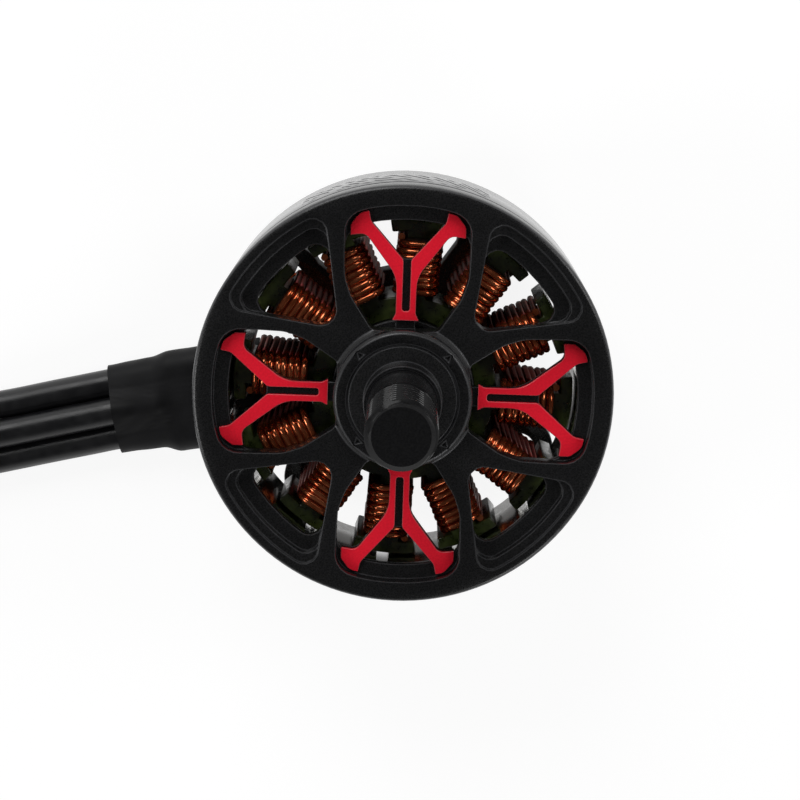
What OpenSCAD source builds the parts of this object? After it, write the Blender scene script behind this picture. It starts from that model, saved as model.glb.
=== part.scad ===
// Brushless outrunner motor, standing on its mounting face with the shaft up.
// +Z is the shaft axis and z = 0 is the mounting face. The leads leave along -X.

/* [Stator] */
// Outside diameter of the stator
stator_od = 25; // [23:0.1:30]
// Height of the lamination stack
stack_h = 7; // [5:0.1:10]
// Width of a tooth between the winding and the next slot
tooth_w = 1.7; // [1.4:0.1:2]
// Radial thickness of a tooth's shoe at its middle
shoe_t = 0.9; // [0.7:0.1:1.2]
// Opening between neighbouring shoes
slot_opening = 1.8; // [1.4:0.1:2.4]
// Wall of the ring that joins the teeth
yoke_wall = 1.6; // [1.2:0.1:2]

/* [Windings] */
// Width of a wound coil across its tooth
coil_w = 3.4; // [3:0.1:3.6]
// How far a coil's ends stand past the stack
coil_end_h = 1.4; // [1:0.1:2]
// Radius of the coil's outer corners
coil_corner_r = 1.2; // [0.8:0.1:1.4]
// Gap between the coil and the shoe, and between the coil and the yoke
coil_gap = 0.15; // [0.15:0.05:0.3]
// Diameter of the bundle of wire that runs from a phase to its lead
tail_d = 1.2; // [0.8:0.1:1.4]
// Diameter of a solder joint
solder_d = 1.8; // [1.4:0.1:2]

/* [Magnets and flux ring] */
// Air gap between the stator and the magnets
air_gap = 0.25; // [0.15:0.05:0.5]
// Thickness of a magnet
magnet_t = 1.25; // [1:0.05:1.8]
// How much taller a magnet is than the stack
magnet_extra = 2.3; // [1:0.1:2.6]
// Space between neighbouring magnets
magnet_space = 0.85; // [0.4:0.05:1.5]
// Wall of the flux ring
ring_wall = 1.25; // [1.1:0.05:1.8]
// Chamfer at the flux ring's open end
ring_edge = 0.2; // [0.1:0.05:0.4]
// Height of the lip that centres the flux ring in the bell
spigot_h = 1.2; // [0.8:0.1:1.2]
// Thickness of that lip
spigot_wall = 0.55; // [0.4:0.05:0.7]

/* [Bell] */
// Height of the bell's outer face
cap_h = 3.2; // [3:0.1:4]
// Space between the windings and the plate with the windows
plate_clearance = 0.35; // [0.3:0.05:0.8]
// Thickness of the plate with the windows
plate_t = 1.85; // [1.6:0.05:1.9]
// Depth of the ledge and of the ribs below the face
ledge_drop = 1.1; // [0.9:0.05:1.2]
// Width of the ledge outside the windows
ledge_w = 1.1; // [0.8:0.1:1.3]
// Distance from the edge of the windows to the bore of the magnets
window_margin = 0.05; // [0:0.05:0.4]
// Half width of a rib window
rib_window_half_w = 4.55; // [4.2:0.05:4.6]
// How far the inner end of a rib window reaches under the edge of the hub
rib_window_lap = 0.2; // [-0.2:0.1:0.4]
// Distance from the hub to the point where an open window's sides would meet
open_window_gap = 1.75; // [1.7:0.05:2.2]
// Angle between an open window's side and its middle line
open_window_angle = 36.5; // [34:0.5:37]
// Width of the shallow step outside an open window's ledge
step_w = 0.7; // [0.4:0.1:0.8]
// Depth of that step
step_drop = 0.3; // [0.2:0.1:0.5]
// Radius of the rim's upper edge
rim_edge = 0.3; // [0.2:0.05:0.5]
// Chamfer on each side of the joint between the bell and the flux ring
joint_chamfer = 0.3; // [0.05:0.05:0.4]
// Radius of the hub
hub_r = 5; // [4.6:0.1:5.5]
// Height of the hub above the face
hub_h = 1.5; // [1:0.1:2.5]
// Chamfer round the top of the hub
hub_chamfer = 0.2; // [0.1:0.05:0.4]
// Chamfer between the hub and the face
hub_fillet = 0.3; // [0.1:0.05:0.5]
// Width of the collar on top of the hub, round the shaft
collar_w = 0.3; // [0.2:0.05:0.5]
// Height of that collar
collar_h = 2; // [1:0.1:3]
// Radial distance from the hub's edge to its ring groove
hub_groove_in = 0.95; // [0.8:0.05:1.2]
// Width of that groove
hub_groove_w = 0.15; // [0.1:0.05:0.3]
// Depth of that groove and of the four marks beside it
hub_groove_d = 0.2; // [0.1:0.05:0.3]
// Radius of one of the four three-sided marks on the hub
hub_mark_r = 0.28; // [0.2:0.02:0.3]
// Thickness of the red inlay on a rib
accent_t = 0.3; // [0.2:0.05:0.4]
// Angle that the rotor stands at, seen from above
rotor_angle = -10.2; // [-45:0.1:45]

/* [Shaft] */
// Diameter in the bearings
journal_d = 4; // [3:0.1:4]
// Diameter of the threaded end
thread_d = 5; // [4.6:0.1:5]
// Length of the shaft above the hub
thread_len = 14; // [10:0.5:20]
// Length of the plain shank between the hub's collar and the thread
shank_len = 5.4; // [3:0.1:7]
// Width of the groove at the foot of the thread
foot_groove_w = 0.3; // [0.2:0.05:0.4]
// Depth of that groove
foot_groove_d = 0.2; // [0.1:0.05:0.4]
// Width of the relief groove in the shaft, inside the top of the hub's collar
relief_w = 0.6; // [0.55:0.05:1]
// Depth of that groove
relief_d = 0.25; // [0.2:0.05:0.4]
// Chamfer at the tip
tip_chamfer = 0.5; // [0.3:0.05:0.8]
// Height of the spacer under the bell
spacer_h = 0.8; // [0.4:0.1:1]

/* [Bearings] */
// Outside diameter of a bearing
bearing_od = 9; // [8.5:0.1:10.8]
// Width of a bearing
bearing_w = 4; // [3:0.1:4]
// Wall of the outer ring
outer_wall = 0.65; // [0.5:0.05:0.7]
// Wall of the inner ring
inner_wall = 0.65; // [0.5:0.05:0.7]
// Number of balls in a bearing
balls = 7; // [6:1:8]
// Clearance between a ball and the rings
ball_play = 0.05; // [0.02:0.01:0.1]
// Thickness of a shield
shield_t = 0.2; // [0.1:0.05:0.3]

/* [Base] */
// Thickness of the base
base_t = 2.8; // [2.4:0.1:3.4]
// Space between the base and the flux ring
bell_clearance = 1; // [0.6:0.1:1.4]
// Radius of the base's middle disc
disc_r = 7.6; // [7:0.1:8]
// Spacing of the mounting holes along X and along Y
hole_spacing = 16; // [15.5:0.1:17]
// Diameter of a mounting hole, the core of an M3 thread
hole_d = 2.5; // [2.4:0.1:3.2]
// Width of an arm
arm_w = 4.8; // [4:0.1:5]
// Diameter of the round end of an arm, round its mounting hole
arm_end_d = 5.4; // [5.2:0.1:6]
// Wall of the bearing tube
tube_wall = 0.7; // [0.6:0.05:0.8]
// Width of the shoulder that the stack sits on
shoulder_w = 0.8; // [0.5:0.1:1]
// Height of the stack's underside above the base
stack_rise = 4.4; // [4:0.1:5.5]
// Depth of the recess under the lower bearing
recess_h = 1.6; // [1.4:0.1:2]
// Height of the tube's rim above the stack
tube_rise = 0.6; // [0.4:0.1:0.8]
// Height of the tube's rim above the upper bearing
tube_rim = 0.2; // [0.1:0.05:0.4]

/* [Retaining screw] */
// Diameter of the head
head_d = 5; // [4.5:0.1:5.5]
// Height of the head
head_h = 1; // [0.8:0.1:1.1]
// Diameter of the thread
screw_d = 2.5; // [2:0.1:2.5]
// Length of the thread
screw_len = 5; // [4:0.5:8]
// Width across the flats of its hexagon socket
socket_af = 2; // [1.5:0.1:2.2]
// Depth of that socket
socket_depth = 0.7; // [0.5:0.1:0.8]
// How far the screw's hole in the shaft runs past the screw
screw_hole_extra = 1; // [0.5:0.1:2]
// How far the end of the shaft stands back from the washer
shaft_inset = 0.05; // [0:0.01:0.1]
// Diameter of the washer
washer_d = 5.6; // [5:0.1:6]
// Thickness of the washer
washer_t = 0.35; // [0.2:0.05:0.5]

/* [Leads] */
// Outside diameter of a lead
lead_d = 2.3; // [2:0.1:2.4]
// Middle radius of the coil of spare lead
coil_mid_r = 12.65; // [12:0.05:14]
// Distance between neighbouring leads in the coil
coil_pitch = 2.35; // [2.3:0.05:2.5]
// Radius of a bare lead end
tip_r = 0.55; // [0.4:0.05:0.8]
// Length of a bare lead end
tip_len = 3; // [2:0.5:5]
// Wall of the heat-shrink sleeve
sleeve_wall = 0.3; // [0.2:0.05:0.4]
// Width of the tie
tie_w = 2.5; // [2:0.1:4]
// Thickness of the tie
tie_t = 0.3; // [0.2:0.05:0.4]

/* [Fits] */
// Clearance of a pressed or glued joint
press_gap = 0.01; // [0.01:0.01:0.03]
// Clearance of the shaft in its spacer and washer
slide_gap = 0.03; // [0.02:0.01:0.1]

/* [Hidden] */
$fn = 96;
teeth = 12;
magnets_n = 14;
tooth_step = 360 / teeth;
magnet_step = 360 / magnets_n;
magnet_turn = 5;        // from a rib to the middle of the nearest space between magnets
magnet_h = stack_h + magnet_extra;
cut = 1;                // how far a cutting shape runs past what it cuts

// radii, from the axis outwards
journal_r = journal_d / 2;
thread_r = thread_d / 2;
bearing_r = bearing_od / 2;
seat_r = bearing_r + press_gap;
tube_r = seat_r + tube_wall;
yoke_in_r = tube_r + press_gap;
yoke_r = yoke_in_r + yoke_wall;
stator_r = stator_od / 2;
coil_in_r = yoke_r + coil_gap;
coil_out_r = stator_r - shoe_t - coil_gap;
magnet_in_r = stator_r + air_gap;
magnet_out_r = magnet_in_r + magnet_t;
ring_in_r = magnet_out_r + press_gap;
bell_r = ring_in_r + ring_wall;
window_r = magnet_in_r - window_margin;
ledge_r = window_r + ledge_w;
spigot_r = ring_in_r + spigot_wall;

// heights, from the mounting face upwards
lower_bearing_z = recess_h;
stack_z = base_t + stack_rise;
stack_top = stack_z + stack_h;
tube_top = stack_top + tube_rise;
upper_bearing_z = tube_top - tube_rim - bearing_w;
upper_bearing_top = upper_bearing_z + bearing_w;
plate_z = stack_top + coil_end_h + plate_clearance;
face_z = plate_z + plate_t;
ledge_z = face_z - ledge_drop;
ring_z = base_t + bell_clearance;
ring_top = face_z - cap_h;
magnet_z = plate_z - slide_gap - magnet_h;
hub_top = face_z + hub_h;
shaft_z = lower_bearing_z + shaft_inset;
shaft_step_z = upper_bearing_top + spacer_h;
collar_top = hub_top + collar_h;
thread_z = collar_top + shank_len + foot_groove_w;
shaft_top = hub_top + thread_len;
washer_z = lower_bearing_z - washer_t;
head_z = washer_z - head_h;

// hub
rib_window_start = hub_r - rib_window_lap;
open_window_apex = hub_r + open_window_gap;
hub_groove_r = hub_r - hub_groove_in;
hub_mark_at = (hub_groove_r + hub_r - hub_chamfer) / 2;
hub_foot_r = 3.3;               // foot of the hub, on the shaft's step

// ball bearings
race_out_r = bearing_r - outer_wall;
race_in_r = journal_r + inner_wall;
ball_r = (race_out_r - race_in_r) / 2 - ball_play;
ball_ring_r = (race_out_r + race_in_r) / 2;
cage_wall = 0.36;
cage_h = 2 * ball_r + 0.6;
pocket_r = ball_r + 0.04;       // a pocket for a ball in its cage
shield_in_r = race_in_r + 0.1;
core_r = race_in_r + 0.35;      // hole through the tube between the bearings

// leads: the middles of the three leads, from the solder joint to the coil
coil_x = -56;
coil_y = -14.2;
lead_a_route = [
    [-10.6, 1.9, 1.6], [-13, 1.9, 1.6], [-15.5, 1.9, 1.6], [-18, 1.8, 1.55], [-20.5, 1.7, 1.5],
    [-23, 1.6, 1.5], [-25.5, 1.45, 1.4], [-28, 1.3, 1.3], [-31, 1.1, 1.2], [-34, 1, 1.15],
    [-37, 0.95, 1.15], [-40, 0.9, 1.15], [-43, 0.85, 1.15], [-46, 0.8, 1.15], [-49.8, 0.8, 1.15]];
lead_b_route = [
    [-10.6, -0.5, 1.6], [-13, -0.5, 1.6], [-15.5, -0.5, 1.65], [-18, -0.5, 1.9], [-20.5, -0.5, 2.3],
    [-23, -0.5, 2.45], [-25.5, -0.65, 2.35], [-28, -0.8, 2.25], [-31, -1, 2.15], [-34, -1.15, 2.1],
    [-37, -1.3, 1.9], [-40, -1.45, 1.5], [-43, -1.5, 1.2], [-45.8, -1.55, 1.15]];
lead_c_route = [
    [-10.6, -2.9, 1.6], [-13, -2.9, 1.6], [-15.5, -2.9, 1.6], [-18, -2.8, 1.55], [-20.5, -2.7, 1.5],
    [-23, -2.6, 1.5], [-25.5, -2.75, 1.4], [-28, -2.9, 1.3], [-31, -3.1, 1.2], [-34, -3.3, 1.15],
    [-37, -3.55, 1.15], [-40, -3.8, 1.15], [-43.4, -3.9, 1.15]];
coil_h = 2 * lead_d + 0.1;
coil_half_w = coil_pitch + lead_d / 2;
tip_angles = [129, 203, 311];   // where the leads end on the coil
tip_z = lead_d * 1.5 + 0.05;
tie_angle = 180;

// A point at a distance and an angle from the axis
function polar(r, a) = [r * cos(a), r * sin(a)];

function unit(v) = v / norm(v);

// The corner b of an outline, between a and c, rounded to radius r by steps + 1 points
function corner(a, b, c, r, steps = 5) =
    r == 0 ? [b] :
    let (u = unit(a - b), v = unit(c - b), middle = unit(u + v))
    let (half = acos(u * v) / 2, centre = b + middle * (r / sin(half)))
    let (from = b + u * (r / tan(half)) - centre, to = b + v * (r / tan(half)) - centre)
    [for (i = [0:steps]) centre + r * unit(from * (1 - i / steps) + to * (i / steps))];

// An outline with its corners rounded: p holds [[x, y], radius] for each corner
function rounded(p) = let (n = len(p)) [
    for (i = [0:n - 1]) each corner(p[(i + n - 1) % n][0], p[i][0], p[(i + 1) % n][0], p[i][1])];

// Half an outline and its mirror image on the other side of the Y axis
function both_sides(half) = let (n = len(half)) concat(
    half, [for (i = [n - 1:-1:0]) [[-half[i][0][0], half[i][0][1]], half[i][1]]]);

// An arc about the axis, from the angle a to the Y axis, as corners that stay sharp
function arc_to_middle(r, a, step = 4) = [for (t = [a:step:90]) [polar(r, t), 0]];

// A window that a rib crosses, lying along +Y, with its outer end at radius r
function rib_window(r) =
    let (w = rib_window_half_w, s = rib_window_start)
    rounded(both_sides(concat(
        [[[s / 2, s], 0.6], [[w - 0.6, s + 2.35], 2.5], [[w - 0.1, s + 3.8], 3],
         [[w, sqrt(r * r - w * w)], 1.6]],
        arc_to_middle(r, acos(w / r) + 8))));

// An open window, lying along +Y, with its outer end at radius r
function open_window(r) =
    let (t = tan(open_window_angle), k = open_window_apex)
    let (y = (k * t * t + sqrt(r * r * (1 + t * t) - k * k * t * t)) / (1 + t * t), x = (y - k) * t)
    rounded(concat(
        [[[0, k], 1.1], [[x, y], 1]],
        [for (a = [atan2(y, x) + 7:4:90]) [polar(r, a), 0]],
        [for (a = [90 + (90 - atan2(y, x) - 7) % 4:4:173 - atan2(y, x)]) [polar(r, a), 0]],
        [[[-x, y], 1]]));

// Half of a Y-shaped rib along +Y: foot, stem, arm, and the flared end of the arm on the ledge
stem_half_w = 0.72;
rib_foot = rib_window_start + 0.65;
rib_end = ledge_r - 0.5;
rib_half = [
    [[0.95, rib_foot], 0], [[stem_half_w, rib_foot + 0.45], 0.5], [[stem_half_w, rib_end - 4.7], 2.5],
    [[3.05, rib_end - 1.65], 0.7], [[4.15, rib_end - 1.8], 0], [[4.15, rib_end - 1], 0.5],
    [[3.5, rib_end - 0.15], 0.8], [[2.85, rib_end], 0], [[2.7, rib_end - 0.75], 0.8],
    [[0.34, rib_end - 3.4], 0]];
// Half of the slot along a rib's stem
rib_slot_half = [[[0.28, rib_end - 3.6], 0], [[0.28, rib_foot + 0.65], 0.2]];

// The outline of the base: a disc and four arms with round ends, each with its hole
module base_outline() {
    hole_r = norm([hole_spacing, hole_spacing]) / 2;
    difference() {
        union() {
            circle(r = disc_r);
            for (a = [45:90:315]) rotate(a) {
                translate([disc_r / 2, -arm_w / 2]) square([hole_r - disc_r / 2, arm_w]);
                translate([hole_r, 0]) circle(d = arm_end_d);
            }
        }
        for (a = [45:90:315]) rotate(a) translate([hole_r, 0]) circle(d = hole_d);
    }
}

module base() {
    color("#1b1b1d")
    difference() {
        union() {
            linear_extrude(base_t) base_outline();
            translate([0, 0, base_t / 2]) cylinder(r = tube_r + shoulder_w, h = stack_z - base_t / 2);
            translate([0, 0, base_t]) cylinder(r = tube_r, h = tube_top - base_t);
        }
        translate([0, 0, -cut]) cylinder(r = core_r, h = tube_top + 2 * cut);
        translate([0, 0, -cut]) cylinder(r = seat_r, h = lower_bearing_z + bearing_w + cut);
        translate([0, 0, upper_bearing_z]) cylinder(r = seat_r, h = tube_top);
    }
}

// The lamination stack: a ring, twelve teeth and their shoes
module stator_core() {
    color("#26331f")
    translate([0, 0, stack_z])
    difference() {
        union() {
            cylinder(r = yoke_r, h = stack_h);
            difference() {
                cylinder(r = stator_r, h = stack_h);
                translate([0, 0, -cut]) cylinder(r = stator_r - shoe_t, h = stack_h + 2 * cut);
                for (i = [0:teeth - 1]) rotate(i * tooth_step)
                    translate([stator_r - shoe_t - cut, -slot_opening / 2, -cut])
                    cube([shoe_t + 2 * cut, slot_opening, stack_h + 2 * cut]);
            }
            for (i = [0:teeth - 1]) rotate((i + 0.5) * tooth_step)
                translate([yoke_r - 0.3, -tooth_w / 2, 0])
                cube([stator_r - shoe_t - yoke_r + 0.6, tooth_w, stack_h]);
        }
        translate([0, 0, -cut]) cylinder(r = yoke_in_r, h = stack_h + 2 * cut);
    }
}

// A rectangle with round corners, about the origin
module round_rectangle(w, h, r) {
    square([w, h - 2 * r], center = true);
    square([w - 2 * r, h], center = true);
    for (x = [-1, 1], y = [-1, 1]) translate([x * (w / 2 - r), y * (h / 2 - r)]) circle(r = r, $fn = 32);
}

// The winding round one tooth
module tooth_coil(tooth) {
    rotate((tooth + 0.5) * tooth_step)
    translate([coil_in_r, 0, stack_z + stack_h / 2])
    rotate([90, 0, 90])
    linear_extrude(coil_out_r - coil_in_r)
    difference() {
        round_rectangle(coil_w, stack_h + 2 * coil_end_h, coil_corner_r);
        square([tooth_w + 2 * press_gap, stack_h + 2 * press_gap], center = true);
    }
}

// The four coils of one phase: two neighbours and the two opposite them
module phase(first) {
    color("#a4501f") for (tooth = [first, first + 1, first + 6, first + 7]) tooth_coil(tooth);
}

// One bundle of wire per phase, from the coils down to the end of a lead
module winding_tails() {
    color("#a4501f") for (p = [lead_a_route[0], lead_b_route[0], lead_c_route[0]])
        translate([p[0] + tail_d, p[1], p[2]])
        cylinder(d = tail_d, h = stack_z - coil_end_h - p[2], $fn = 24);
}

module solder_joints() {
    color("#b8bcc0") for (p = [lead_a_route[0], lead_b_route[0], lead_c_route[0]])
        difference() {
            translate([p[0] + tail_d, p[1], p[2]]) sphere(d = solder_d, $fn = 32);
            translate([p[0] + tail_d, p[1], p[2]]) cylinder(d = tail_d, h = solder_d, $fn = 24);
            translate([p[0] - cut, p[1] - cut, 0]) cube([cut, 2 * cut, 2 * solder_d]);
        }
}

// A tube between two radii
module tube(r, bore_r, h) {
    difference() {
        cylinder(r = r, h = h);
        translate([0, 0, -cut]) cylinder(r = bore_r, h = h + 2 * cut);
    }
}

module bearing_outer(z) {
    color("#b9bcc0") translate([0, 0, z]) tube(bearing_r, race_out_r, bearing_w);
}

module bearing_inner(z) {
    color("#b9bcc0") translate([0, 0, z]) tube(race_in_r, journal_r + press_gap, bearing_w);
}

module bearing_shields() {
    color("#8d9094")
    for (z = [lower_bearing_z, upper_bearing_z], top = [0, 1])
        translate([0, 0, z + top * (bearing_w - shield_t)])
        tube(race_out_r - press_gap, shield_in_r, shield_t);
}

module bearing_balls(z) {
    color("#c9ccd0") for (i = [0:balls - 1]) rotate(i * 360 / balls)
        translate([ball_ring_r, 0, z + bearing_w / 2]) sphere(r = ball_r, $fn = 32);
}

// A ring with a round pocket for each ball
module bearing_cage(z) {
    color("#9a7b3c")
    translate([0, 0, z + bearing_w / 2])
    difference() {
        translate([0, 0, -cage_h / 2])
            tube(ball_ring_r + cage_wall / 2, ball_ring_r - cage_wall / 2, cage_h);
        for (i = [0:balls - 1]) rotate(i * 360 / balls)
            translate([ball_ring_r - cage_wall, 0, 0]) rotate([0, 90, 0])
            cylinder(r = pocket_r, h = 2 * cage_wall, $fn = 32);
    }
}

// What stands still in the rotor's own frame, turned to the rotor's resting angle
module on_rotor() {
    rotate(rotor_angle) children();
}

module bell_body() {
    rotate_extrude() polygon([
        [thread_r + press_gap, shaft_step_z + press_gap], [hub_foot_r, shaft_step_z + press_gap],
        [hub_foot_r, plate_z], [spigot_r + press_gap, plate_z], [spigot_r + press_gap, ring_top],
        [bell_r - joint_chamfer, ring_top], [bell_r, ring_top + joint_chamfer],
        [bell_r, face_z - rim_edge], [bell_r - 0.3 * rim_edge, face_z - 0.3 * rim_edge],
        [bell_r - rim_edge, face_z], [hub_r + hub_fillet, face_z],
        [hub_r, face_z + hub_fillet], [hub_r, hub_top - hub_chamfer], [hub_r - hub_chamfer, hub_top],
        [thread_r + collar_w, hub_top], [thread_r + collar_w, collar_top],
        [thread_r + press_gap, collar_top]]);
}

module bell() {
    color("#161617")
    on_rotor() difference() {
        union() {
            difference() {
                bell_body();
                for (a = [0:90:270]) rotate(a) {
                    translate([0, 0, plate_z - cut]) linear_extrude(plate_t + 2 * cut)
                        polygon(rib_window(window_r));
                    translate([0, 0, ledge_z]) linear_extrude(ledge_drop + cut)
                        polygon(rib_window(ledge_r));
                }
                for (a = [45:90:315]) rotate(a) {
                    translate([0, 0, plate_z - cut]) linear_extrude(plate_t + 2 * cut)
                        polygon(open_window(window_r));
                    translate([0, 0, ledge_z]) linear_extrude(ledge_drop + cut)
                        polygon(open_window(ledge_r));
                    translate([0, 0, face_z - step_drop]) linear_extrude(step_drop + cut)
                        polygon(open_window(ledge_r + step_w));
                }
            }
            for (a = [0:90:270]) rotate(a) translate([0, 0, plate_z]) {
                linear_extrude(ledge_z - plate_z) polygon(rounded(both_sides(rib_half)));
                translate([-stem_half_w, rib_window_start - cut / 2, 0])
                    cube([2 * stem_half_w, rib_foot - rib_window_start + cut, ledge_z - plate_z]);
            }
        }
        translate([0, 0, hub_top - hub_groove_d]) {
            tube(hub_groove_r, hub_groove_r - hub_groove_w, cut);
            for (a = [45:90:315]) rotate(a) translate([hub_mark_at, 0, 0])
                cylinder(r = hub_mark_r, h = cut, $fn = 3);
        }
    }
}

// The red tops of the four ribs, each with a slot along its stem
module rib_accents() {
    color("#b01425")
    on_rotor() translate([0, 0, ledge_z])
    for (a = [0:90:270]) rotate(a)
        linear_extrude(accent_t) polygon(rounded(both_sides(concat(rib_half, rib_slot_half))));
}

module flux_ring() {
    color("#3a3b3d")
    on_rotor() rotate_extrude() polygon([
        [ring_in_r, ring_z], [bell_r - ring_edge, ring_z], [bell_r, ring_z + ring_edge],
        [bell_r, ring_top - joint_chamfer], [bell_r - joint_chamfer, ring_top],
        [spigot_r, ring_top], [spigot_r, ring_top + spigot_h], [ring_in_r, ring_top + spigot_h]]);
}

module magnets() {
    color("#b4b4b2")
    on_rotor() translate([0, 0, magnet_z])
    difference() {
        tube(magnet_out_r, magnet_in_r, magnet_h);
        for (i = [0:magnets_n - 1]) rotate(90 - magnet_turn + i * magnet_step)
            translate([magnet_in_r - cut, -magnet_space / 2, -cut])
            cube([magnet_t + 2 * cut, magnet_space, magnet_h + 2 * cut]);
    }
}

module shaft() {
    color("#202022")
    difference() {
        rotate_extrude() polygon([
            [0, shaft_z], [journal_r, shaft_z],
            [journal_r, shaft_step_z], [thread_r, shaft_step_z],
            [thread_r, collar_top - relief_w], [thread_r - relief_d, collar_top - relief_w],
            [thread_r - relief_d, collar_top], [thread_r, collar_top],
            [thread_r, thread_z - foot_groove_w], [thread_r - foot_groove_d, thread_z - foot_groove_w],
            [thread_r - foot_groove_d, thread_z], [thread_r, thread_z],
            [thread_r, shaft_top - tip_chamfer], [thread_r - tip_chamfer, shaft_top],
            [0, shaft_top]]);
        cylinder(d = screw_d + 2 * press_gap, h = washer_z + screw_len + screw_hole_extra);
    }
}

module shaft_spacer() {
    color("#b9bcc0") translate([0, 0, upper_bearing_top])
        tube(race_in_r, journal_r + slide_gap, spacer_h);
}

module retaining_washer() {
    color("#b9bcc0") translate([0, 0, washer_z])
        tube(washer_d / 2, screw_d / 2 + slide_gap, washer_t);
}

module retaining_screw() {
    color("#2a2a2c")
    difference() {
        union() {
            translate([0, 0, head_z]) cylinder(d = head_d, h = head_h);
            translate([0, 0, head_z]) cylinder(d = screw_d, h = head_h + screw_len);
        }
        translate([0, 0, head_z - cut])
            cylinder(d = socket_af / cos(30), h = cut + socket_depth, $fn = 6);
    }
}

// The heat-shrink sleeve, at three places along the leads: [x, middle y, half spread, z, middle z]
sleeve_sections = [
    [-11, -0.5, 2.6, 1.7, 1.7], [-18.3, -0.5, 2.6, 1.65, 1.8], [-19.8, -0.45, 2.2, 1.5, 2.2],
    [-23.2, -0.5, 2.1, 1.5, 2.45]];

module sleeve_section(s) {
    r = lead_d / 2 + sleeve_wall;
    for (side = [-1, 0, 1])
        translate([s[0], s[1] + side * s[2], side == 0 ? s[4] : s[3]])
        rotate([0, -90, 0]) cylinder(r = r, h = 0.05, $fn = 24);
}

module lead_sleeve() {
    color("#1d1d1f") for (i = [0:len(sleeve_sections) - 2]) hull() {
        sleeve_section(sleeve_sections[i]);
        sleeve_section(sleeve_sections[i + 1]);
    }
}

// A tube of eight sides along a route
module lead_tube(route) {
    n = len(route);
    sides = 8;
    way = [for (i = [0:n - 1]) unit(route[min(i + 1, n - 1)] - route[max(i - 1, 0)])];
    points = [for (i = [0:n - 1]) let (side = unit(cross([0, 0, 1], way[i])), up = cross(way[i], side))
        for (k = [0:sides - 1]) let (a = (k + 0.5) * 360 / sides)
            route[i] + lead_d / 2 * (side * cos(a) + up * sin(a))];
    faces = concat(
        [[for (k = [0:sides - 1]) k]],
        [for (i = [0:n - 2], k = [0:sides - 1]) let (a = i * sides, next = (k + 1) % sides)
            [a + k, a + sides + k, a + sides + next, a + next]],
        [[for (k = [sides - 1:-1:0]) (n - 1) * sides + k]]);
    color("#141416") polyhedron(points, faces);
}

// The outer shape of the coil of spare lead
module lead_coil() {
    color("#141416") translate([coil_x, coil_y, 0])
        tube(coil_mid_r + coil_half_w, coil_mid_r - coil_half_w, coil_h);
}

module lead_tips() {
    color("#c8cbd0") for (i = [0:2])
        translate([coil_x, coil_y, tip_z]) rotate(tip_angles[i])
        translate([coil_mid_r + (1 - i) * coil_pitch, 0, 0])
        rotate([-90, 0, 0]) cylinder(r = tip_r, h = tip_len, $fn = 24);
}

// A flat band round the coiled leads
module lead_tie() {
    color("#242426") translate([coil_x, coil_y, 0]) rotate(tie_angle)
        translate([coil_mid_r - coil_half_w - tie_t, -tie_w / 2, 0])
        difference() {
            cube([2 * coil_half_w + 2 * tie_t, tie_w, coil_h + tie_t]);
            translate([tie_t, -cut, tie_t]) cube([2 * coil_half_w, tie_w + 2 * cut, coil_h - tie_t]);
        }
}

base();
stator_core();
phase(0);  // coils_phase_a
phase(2);  // coils_phase_b
phase(4);  // coils_phase_c
winding_tails();
solder_joints();
bearing_outer(upper_bearing_z);  // upper_bearing_outer
bearing_outer(lower_bearing_z);  // lower_bearing_outer
bearing_shields();
lead_sleeve();
lead_tube(lead_a_route);  // lead_a
lead_tube(lead_b_route);  // lead_b
lead_tube(lead_c_route);  // lead_c
lead_coil();
lead_tips();
lead_tie();
bell();
rib_accents();
flux_ring();
magnets();
shaft();
shaft_spacer();
bearing_inner(upper_bearing_z);  // upper_bearing_inner
bearing_inner(lower_bearing_z);  // lower_bearing_inner
retaining_washer();
retaining_screw();
bearing_balls(upper_bearing_z);  // upper_bearing_balls
bearing_cage(upper_bearing_z);  // upper_bearing_cage
bearing_balls(lower_bearing_z);  // lower_bearing_balls
bearing_cage(lower_bearing_z);  // lower_bearing_cage
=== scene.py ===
import math
import bpy
from mathutils import Matrix, Vector


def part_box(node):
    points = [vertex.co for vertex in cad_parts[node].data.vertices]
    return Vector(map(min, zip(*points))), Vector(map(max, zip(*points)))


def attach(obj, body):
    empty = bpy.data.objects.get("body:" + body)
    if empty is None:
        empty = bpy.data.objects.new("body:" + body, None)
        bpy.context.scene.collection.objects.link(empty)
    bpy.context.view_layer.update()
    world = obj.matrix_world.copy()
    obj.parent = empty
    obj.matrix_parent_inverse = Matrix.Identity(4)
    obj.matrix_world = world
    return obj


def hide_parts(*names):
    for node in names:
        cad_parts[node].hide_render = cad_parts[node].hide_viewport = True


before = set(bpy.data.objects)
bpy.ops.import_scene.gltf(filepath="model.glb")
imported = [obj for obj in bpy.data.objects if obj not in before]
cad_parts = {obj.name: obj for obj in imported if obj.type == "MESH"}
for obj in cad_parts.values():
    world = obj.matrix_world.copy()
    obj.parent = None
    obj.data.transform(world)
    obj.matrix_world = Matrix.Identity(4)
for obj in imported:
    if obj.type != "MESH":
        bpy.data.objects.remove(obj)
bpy.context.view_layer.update()        # the motor's own parts, standing at rest
mm = 0.001
weld = 0.002 * mm        # points nearer than this are one
print("motor frame loaded:", len(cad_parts), "parts")

stage = bpy.context.scene
stage.view_settings.view_transform = "Standard"


# sizes that the new pieces share

bellTop = 17.8 * mm                               # the bell's face, under the hub
shaftLow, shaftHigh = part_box("shaft")
coreLow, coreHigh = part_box("stator_core")
coilLow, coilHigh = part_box("coils_phase_a")


# camera

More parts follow.
